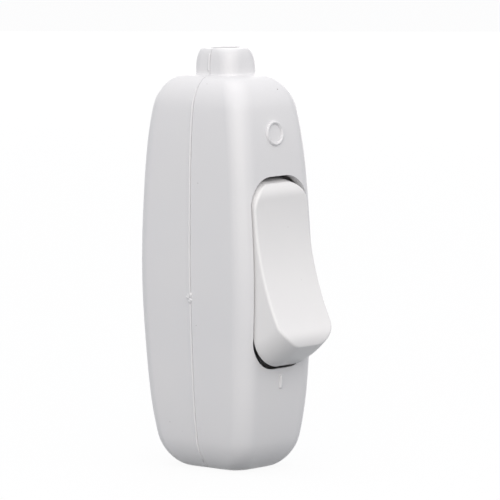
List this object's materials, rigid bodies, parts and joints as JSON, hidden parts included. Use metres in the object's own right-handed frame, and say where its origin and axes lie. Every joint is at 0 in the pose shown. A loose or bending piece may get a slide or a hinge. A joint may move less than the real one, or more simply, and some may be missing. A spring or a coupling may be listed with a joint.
{
  "type": "inline cord switch",
  "caption": "Slim two-shell inline rocker switch for a round flexible cord, with a long hollowed rocker key, a cord neck on top and screw terminals inside.",
  "frame": {"origin": "centre of the lower cord entry, on the flat foot", "axes": "+Z along the cord, from the foot to the neck; -Y towards the rocker; the two shells part on the plane Y = 0"},
  "size_m": [0.0228, 0.0392, 0.0875],
  "materials": {
    "shell": "moulded white urea or ABS plastic, glossy",
    "rocker": "moulded white plastic, glossy",
    "plunger": "moulded acetal, natural",
    "clamp": "moulded nylon, natural",
    "brass": "stamped or milled brass",
    "silver": "silver contact rivet",
    "screw": "zinc-plated steel",
    "spring": "drawn spring steel"
  },
  "bodies": {
    "housing": {"front_shell": "shell", "rear_shell": "shell", "lever_bracket": "brass", "fixed_contact_strip": "brass", "fixed_contact": "silver", "upper_live_terminal": "brass", "lower_live_terminal": "brass", "neutral_link": "brass", "upper_live_screw": "screw", "lower_live_screw": "screw", "upper_neutral_screw": "screw", "lower_neutral_screw": "screw", "upper_cord_clamp": "clamp", "lower_cord_clamp": "clamp", "upper_clamp_screw_left": "screw", "upper_clamp_screw_right": "screw", "lower_clamp_screw_left": "screw", "lower_clamp_screw_right": "screw", "upper_housing_screw": "screw", "lower_housing_screw": "screw"},
    "rocker": {"rocker": "rocker", "rocker_spring": "spring"},
    "plunger": {"contact_plunger": "plunger"},
    "lever": {"contact_lever": "brass", "moving_contact": "silver"}
  },
  "joints": [
    {"name": "rocker_hinge", "type": "hinge", "parent": "housing", "child": "rocker", "pos_m": [0, -0.0084, 0.041], "axis": [1, 0, 0], "range_deg": [0, 28]},
    {"name": "plunger_slide", "type": "slide", "parent": "rocker", "child": "plunger", "axis": [0, 0.9703, -0.2419], "range_m": [-0.001, 0], "stiffness_N_per_m": 800, "springref_m": 0.004, "deforming": ["rocker_spring"]},
    {"name": "lever_hinge", "type": "hinge", "parent": "housing", "child": "lever", "pos_m": [0, 0.00154, 0.041], "axis": [1, 0, 0], "range_deg": [-16, 0]}
  ],
  "couplings": [
    {"joint": "lever_hinge", "follows": "rocker_hinge", "ratio": -0.5714}
  ]
}
